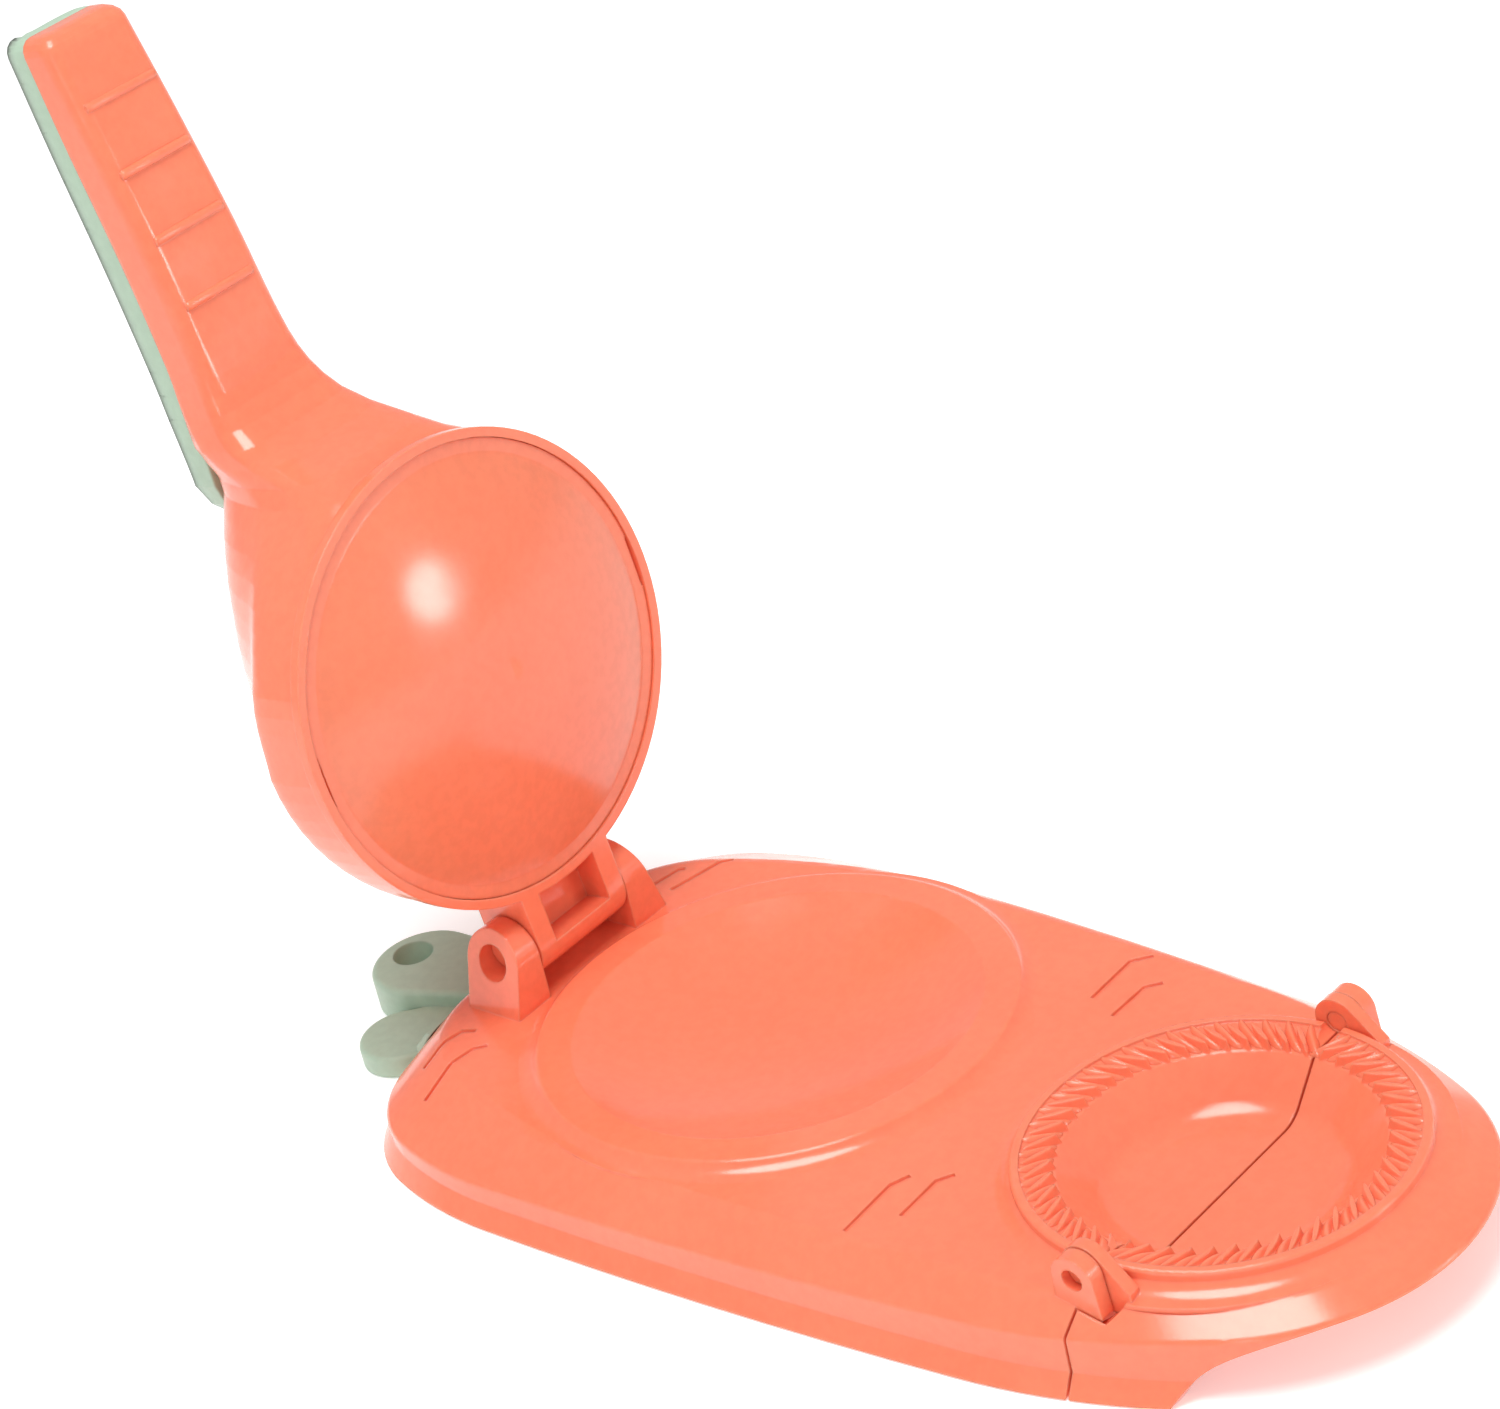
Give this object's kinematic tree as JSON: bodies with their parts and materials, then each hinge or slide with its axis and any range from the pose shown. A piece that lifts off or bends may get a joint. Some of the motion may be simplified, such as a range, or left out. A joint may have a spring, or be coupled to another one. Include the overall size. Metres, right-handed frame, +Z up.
{
  "type": "dumpling wrapper press",
  "caption": "Carrot-shaped two-in-one press: a domed lever presses dough flat over a round dish, and a split fluted mould folds to seal a dumpling.",
  "frame": {"origin": "on the table under the centre of the dish", "axes": "+X along the base towards the carrot's tip and the folding flap, +Y across the press, parallel to both hinges, +Z up from the table"},
  "size_m": [0.3229, 0.1374, 0.237],
  "materials": {
    "coral_plastic": "glossy moulded",
    "sage_plastic": "satin moulded"
  },
  "bodies": {
    "base": {"base_body": "coral_plastic", "leaf_piece": "sage_plastic"},
    "lever": {"lever_housing": "coral_plastic", "press_plate": "coral_plastic", "handle_cover": "sage_plastic", "lever_hinge_pins": "coral_plastic"},
    "flap": {"front_flap": "coral_plastic", "flap_hinge_pins": "coral_plastic"}
  },
  "joints": [
    {"name": "lever_hinge", "type": "hinge", "parent": "base", "child": "lever", "pos_m": [-0.0626, 0, 0.0298], "axis": [0, 1, 0], "range_deg": [0, 98.7]},
    {"name": "flap_hinge", "type": "hinge", "parent": "base", "child": "flap", "pos_m": [0.1162, 0, 0.0231], "axis": [0, -1, 0], "range_deg": [0, 180]}
  ]
}
